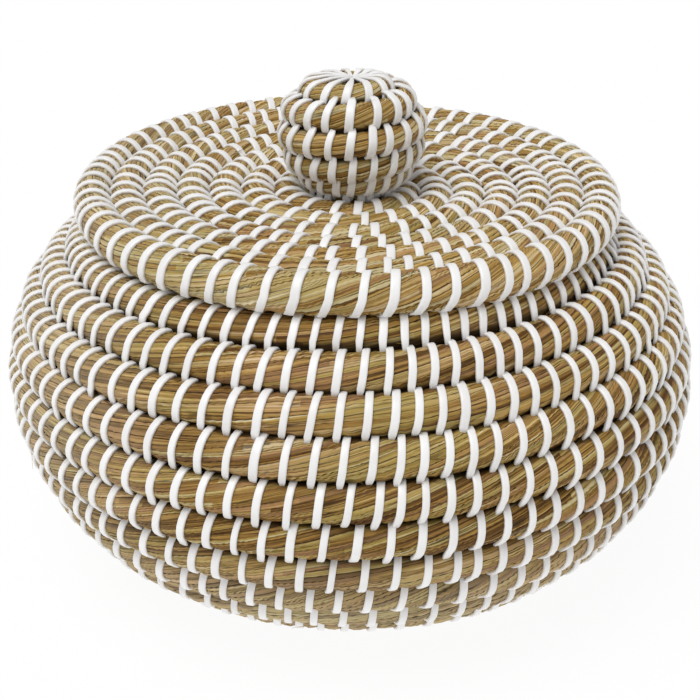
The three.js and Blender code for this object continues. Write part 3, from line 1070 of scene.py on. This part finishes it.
class BasketLashing(bpy.types.PropertyGroup):
    """Sizes of the strip and its stitches."""
    body_strip_width: length_setting("Body strip", WIDTH_NOTE, 2.95 * MM)
    lid_strip_width: length_setting("Lid strip", WIDTH_NOTE, 3.4 * MM)
    knob_strip_width: length_setting("Knob strip", WIDTH_NOTE, 3.35 * MM)
    strip_thickness: length_setting("Strip thickness", "Thickness of the white strip", 1.3 * MM)
    body_bite: length_setting("Body bite", BITE_NOTE, 0.9 * MM)
    lid_bite: length_setting("Lid bite", BITE_NOTE, 0.5 * MM)
    knob_bite: length_setting("Knob bite", BITE_NOTE, 0.7 * MM)
    body_spacing: length_setting("Body spacing", "From stitch to stitch on the body", 9.4 * MM)
    mouth_spacing: length_setting("Mouth spacing", "From stitch to stitch at the mouth", 7.5 * MM)
    lid_spacing: length_setting("Lid spacing", "From stitch to stitch on the lid", 9.3 * MM)
    knob_spacing: length_setting("Knob spacing", "From stitch to stitch on the knob", 7.6 * MM)
    foot_spacing: length_setting("Foot spacing", "From stitch to stitch at the knob's foot", 5.0 * MM)
    body_slant: length_setting("Body slant", SLANT_NOTE, 2.9 * MM)
    lid_slant: length_setting("Lid slant", SLANT_NOTE, 2.9 * MM)
    knob_slant: length_setting("Knob slant", SLANT_NOTE, 1.7 * MM)


class BasketGrass(bpy.types.PropertyGroup):
    """Colours and lay of the grass blades."""
    lay_angle: number_setting("Lay", "Angle of the blades to the bundle, in degrees", 13.0)
    relief: length_setting("Relief", "Height of a blade over its creases", 0.85 * MM)
    blade_stretches: number_setting("Stretches", "Changes of tone for each metre of a blade", 13.0)
    body_tone: number_setting("Body tone", TONE_NOTE, -0.13)
    lid_tone: number_setting("Lid tone", TONE_NOTE, 0.09)
    knob_tone: number_setting("Knob tone", TONE_NOTE, 0.08)
    core_tone: number_setting("Core tone", TONE_NOTE, -0.3)
    body_fibres: count_setting("Body fibres", FIBRE_NOTE, 420)
    lid_fibres: count_setting("Lid fibres", FIBRE_NOTE, 120)
    knob_fibres: count_setting("Knob fibres", FIBRE_NOTE, 45)
    shade: colour_setting("Shade", "Darkest blades", (0.10, 0.043, 0.010))
    bark: colour_setting("Bark", "Brown blades", (0.20, 0.107, 0.027))
    tan: colour_setting("Tan", "Tan blades", (0.32, 0.18, 0.042))
    gold: colour_setting("Gold", "Golden blades", (0.43, 0.27, 0.077))
    straw: colour_setting("Straw", "Straw blades", (0.57, 0.418, 0.182))
    pale: colour_setting("Pale", "Palest blades", (0.80, 0.685, 0.455))
    olive: colour_setting("Olive", "Green tinge", (0.32, 0.25, 0.065))
    rose: colour_setting("Rose", "Pink tinge", (0.48, 0.27, 0.135))
    # Colour of the painted light on the left side and the lowest rows.
    painted_light: colour_setting("Faded", "Sun-faded grass low down and on one side", (0.62, 0.53, 0.35))
    # Colour of the painted shade in blade creases and row grooves, and of the dark slits.
    crease_shade: colour_setting("Crease", "Between the blades", (0.02, 0.011, 0.004))


class BasketStrip(bpy.types.PropertyGroup):
    """Colours of the strip."""
    strip_white: colour_setting("White", "Clean strip", (0.84, 0.835, 0.83))
    strip_grey: colour_setting("Grey", "Handled strip", (0.78, 0.77, 0.76))


class BasketStudio(bpy.types.PropertyGroup):
    """Camera and lamps."""
    distance: length_setting("Distance", "From the camera to its aim", 0.56)
    elevation: number_setting("Elevation", "Height of the view", math.radians(26.09), subtype="ANGLE")
    aim_height: length_setting("Aim", "Height that the camera looks at", 86.8 * MM)
    lens: number_setting("Lens", "Focal length on a 36 mm sensor, in millimetres", 63.36)
    ambient: number_setting("Ambient", "Strength of the world", 0.5)
    key: number_setting("Key", "Strength of the main light", 2.0)


# The materials made so far, each by the part it is for
materials = {}


def grass_finish(part):
    """The grass material of a part, made the first time it is asked for."""
    look = bpy.context.scene.basket_grass
    if part not in materials:
        paler = getattr(look, part + "_tone")
        materials[part] = seagrass_material(f"{part}_seagrass_finish", look, paler)
    return materials[part]


def strip_finish():
    """The one material of all strips."""
    if "strip" not in materials:
        materials["strip"] = strip_material(bpy.context.scene.basket_strip)
    return materials["strip"]


def body_stitches(coil):
    lashing = bpy.context.scene.basket_lashing
    spacings = (lashing.body_spacing, lashing.mouth_spacing)
    return stitch_distances(coil, *spacings, FIRST_ROW_STITCHES, STITCH_SPREAD)


def lid_stitches(coil):
    spacing = bpy.context.scene.basket_lashing.lid_spacing
    return stitch_distances(coil, spacing, spacing, FIRST_ROW_STITCHES, STITCH_SPREAD)


def ring_stitches(coil):
    """Evenly spaced all the way round."""
    count = int(coil.length() / bpy.context.scene.basket_lashing.lid_spacing)
    return coil.start + (coil.end - coil.start) * (np.arange(count) + 0.5) / count


def knob_stitches(coil):
    lashing = bpy.context.scene.basket_lashing
    spacings = (lashing.knob_spacing, lashing.foot_spacing)
    return stitch_distances(coil, *spacings, STAR_STITCHES, KNOB_STITCH_SPREAD, STAR_START)


def add_lengths(names, rings, uv, groove, material, body, replaced):
    """A long skin as pieces that meet ring to ring, one for each name."""
    ends = np.linspace(0, len(rings) - 1, len(names) + 1).astype(int)
    for name, low, high in zip(names, ends[:-1], ends[1:]):
        skin = closed_skin(rings[low:high + 1], uv[low:high + 1])
        depth = None if groove is None else groove[low:high + 1]
        add_piece(name, skin, material, body, replaced, depth)


def wind(coil, stitches, names, finish, stitching, body, node):
    """The grass of a coil, drawn in by stitches that slant as those of one part do."""
    look = bpy.context.scene.basket_grass
    slant = getattr(bpy.context.scene.basket_lashing, stitching + "_slant")
    rings, uv, groove = coil_rings(coil, stitches, look.lay_angle, look.relief, slant)
    add_lengths(names, rings, uv, groove, grass_finish(finish), body, (node,))


def lash(coil, stitches, names, stitching, body, star=0):
    """The strip that wraps a coil, with the sizes of one part's stitches."""
    lashing = bpy.context.scene.basket_lashing
    width = getattr(lashing, stitching + "_strip_width")
    slant = getattr(lashing, stitching + "_slant")
    bite = getattr(lashing, stitching + "_bite")
    rings, uv = strip_rings(coil, stitches, lashing.strip_thickness, width, slant, bite, star)
    add_lengths(names, rings, uv, None, strip_finish(), body, ())


class BASKET_OT_body_coil(bpy.types.Operator):
    """Wind the grass coil of the base and wall, in three lengths that meet ring to ring"""
    bl_idname = "basket.body_coil"
    bl_label = "Body coil"

    def execute(self, context):
        coil = body_coil_shape()
        names = ("body_coil_base", "body_coil_lower_wall", "body_coil_upper_wall")
        wind(coil, body_stitches(coil), names, "body", "body", "basket", "body_coil")
        return {"FINISHED"}


class BASKET_OT_body_lashing(bpy.types.Operator):
    """Lash the rows of the body together"""
    bl_idname = "basket.body_lashing"
    bl_label = "Body lashing"

    def execute(self, context):
        coil = body_coil_shape()
        names = ("body_lashing_lower", "body_lashing_upper")
        lash(coil, body_stitches(coil), names, "body", "basket")
        return {"FINISHED"}


class BASKET_OT_lid_coil(bpy.types.Operator):
    """Wind the grass coil of the lid and the locating ring under it"""
    bl_idname = "basket.lid_coil"
    bl_label = "Lid coil and locating ring"

    def execute(self, context):
        coil = lid_coil_shape()
        wind(coil, lid_stitches(coil), ("lid_coil_wound",), "lid", "lid", "lid", "lid_coil")
        ring = RingCoil()
        names = ("locating_ring",)
        wind(ring, ring_stitches(ring), names, "body", "lid", "lid", "lid_locating_ring")
        return {"FINISHED"}


class BASKET_OT_lid_lashing(bpy.types.Operator):
    """Lash the rows of the lid together and wrap the locating ring"""
    bl_idname = "basket.lid_lashing"
    bl_label = "Lid lashing"

    def execute(self, context):
        coil = lid_coil_shape()
        lash(coil, lid_stitches(coil), ("lid_lashing",), "lid", "lid")
        ring = RingCoil()
        lash(ring, ring_stitches(ring), ("locating_ring_lashing",), "lid", "lid")
        return {"FINISHED"}


class BASKET_OT_knob(bpy.types.Operator):
    """Wind and lash the ball knob"""
    bl_idname = "basket.knob"
    bl_label = "Knob"

    def execute(self, context):
        lashing = context.scene.basket_lashing
        coil = knob_coil_shape()
        stitches = knob_stitches(coil)
        wind(coil, stitches, ("knob_coil_wound",), "knob", "knob", "lid", "knob_coil")
        lash(coil, stitches, ("knob_lashing",), "knob", "lid", STAR_STITCHES)
        ties = foot_ties_skin(lashing.knob_strip_width, lashing.strip_thickness)
        add_piece("knob_foot_ties", ties, strip_finish(), "lid", ())
        wad = knob_core_skin()
        add_piece("knob_core_wad", wad, grass_finish("core"), "lid", ("knob_core",))
        tie = knob_tie_skin()
        add_piece("knob_tie_strips", tie, strip_finish(), "lid", ("knob_tie",))
        return {"FINISHED"}


class BASKET_OT_fibres(bpy.types.Operator):
    """Let ends of grass stick out of the coils"""
    bl_idname = "basket.fibres"
    bl_label = "Loose fibres"

    def execute(self, context):
        look = context.scene.basket_grass
        for name, coil, count, body in (
                ("body", body_coil_shape(), look.body_fibres, "basket"),
                ("lid", lid_coil_shape(), look.lid_fibres, "lid"),
                ("knob", knob_coil_shape(), look.knob_fibres, "lid")):
            skin = loose_fibres(coil, count)
            add_piece(f"{name}_loose_fibres", skin, grass_finish(name), body, ())
        return {"FINISHED"}


class BASKET_OT_studio(bpy.types.Operator):
    """Set up the pale floor, the lamps and the camera"""
    bl_idname = "basket.studio"
    bl_label = "Studio"

    def execute(self, context):
        scene = context.scene
        studio = scene.basket_studio
        scene.view_settings.view_transform = "Standard"
        add_floor()
        add_world(studio.ambient)
        add_lamp("key_light", KEY_PLACE, KEY_SOFTNESS, studio.key)
        add_camera(studio)
        return {"FINISHED"}


def add_floor():
    """A level square just under the basket."""
    half = FLOOR_HALF_SIDE
    corners = [(-half, -half, 0), (half, -half, 0), (half, half, 0), (-half, half, 0)]
    mesh = bpy.data.meshes.new("studio_floor")
    mesh.from_pydata(corners, [], [(0, 1, 2, 3)])
    mesh.materials.append(stage_material())
    floor = bpy.data.objects.new("studio_floor", mesh)
    bpy.context.scene.collection.objects.link(floor)


def add_world(ambient):
    """Surroundings that the camera sees white and that light with their ambient strength."""
    world = bpy.data.worlds.new("studio_world")
    world.use_nodes = True
    bpy.context.scene.world = world
    background = world.node_tree.nodes["Background"]
    background.inputs["Color"].default_value = (1, 1, 1, 1)
    start = Wire(world.node_tree, background.outputs[0])
    seen = start.add_node("ShaderNodeLightPath", output="Is Camera Ray")
    strength = seen * (1.0 - ambient) + ambient
    strength.feed(background, "Strength")


def add_lamp(name, place, softness, strength):
    """A soft distant light that shines from a place towards the origin."""
    lamp = bpy.data.lights.new(name, "SUN")
    lamp.angle = math.radians(softness)
    lamp.energy = strength
    holder = bpy.data.objects.new(name, lamp)
    holder.location = place
    holder.rotation_euler = holder.location.to_track_quat("Z", "Y").to_euler()
    bpy.context.scene.collection.objects.link(holder)


def add_camera(studio):
    """A camera in front, at a distance and an elevation from the point of the axis it looks at."""
    camera = bpy.data.cameras.new("photo_camera")
    camera.lens = studio.lens
    camera.sensor_width = SENSOR_WIDTH
    camera.shift_y = PICTURE_SHIFT / PICTURE_WIDTH
    camera.clip_start = NEAREST_SEEN
    holder = bpy.data.objects.new("photo_camera", camera)
    back = studio.distance * math.cos(studio.elevation)
    up = studio.distance * math.sin(studio.elevation)
    holder.location = (0, -back, studio.aim_height + up)
    holder.rotation_euler = (math.pi / 2 - studio.elevation, 0, 0)
    bpy.context.scene.collection.objects.link(holder)
    bpy.context.scene.camera = holder


class BASKET_PT_panel(bpy.types.Panel):
    """Lists the basket's pieces in the sidebar"""
    bl_idname = "BASKET_PT_panel"
    bl_label = "Coiled basket"
    bl_space_type = "VIEW_3D"
    bl_region_type = "UI"
    bl_category = "Basket"

    def draw(self, context):
        for operator in OPERATORS:
            self.layout.operator(operator.bl_idname)


OPERATORS = (
    BASKET_OT_body_coil, BASKET_OT_body_lashing, BASKET_OT_lid_coil, BASKET_OT_lid_lashing,
    BASKET_OT_knob, BASKET_OT_fibres, BASKET_OT_studio,
)
GROUPS = {
    "basket_lashing": BasketLashing, "basket_grass": BasketGrass, "basket_strip": BasketStrip,
    "basket_studio": BasketStudio,
}
CLASSES = (*GROUPS.values(), *OPERATORS, BASKET_PT_panel)


def register():
    for kind in CLASSES:
        bpy.utils.register_class(kind)
    for name, group in GROUPS.items():
        setattr(bpy.types.Scene, name, bpy.props.PointerProperty(type=group))


def unregister():
    for name in GROUPS:
        delattr(bpy.types.Scene, name)
    for kind in reversed(CLASSES):
        bpy.utils.unregister_class(kind)


def main():
    register()
    for operator in OPERATORS:
        group, name = operator.bl_idname.split(".")
        getattr(getattr(bpy.ops, group), name)()


if __name__ == "__main__":
    main()
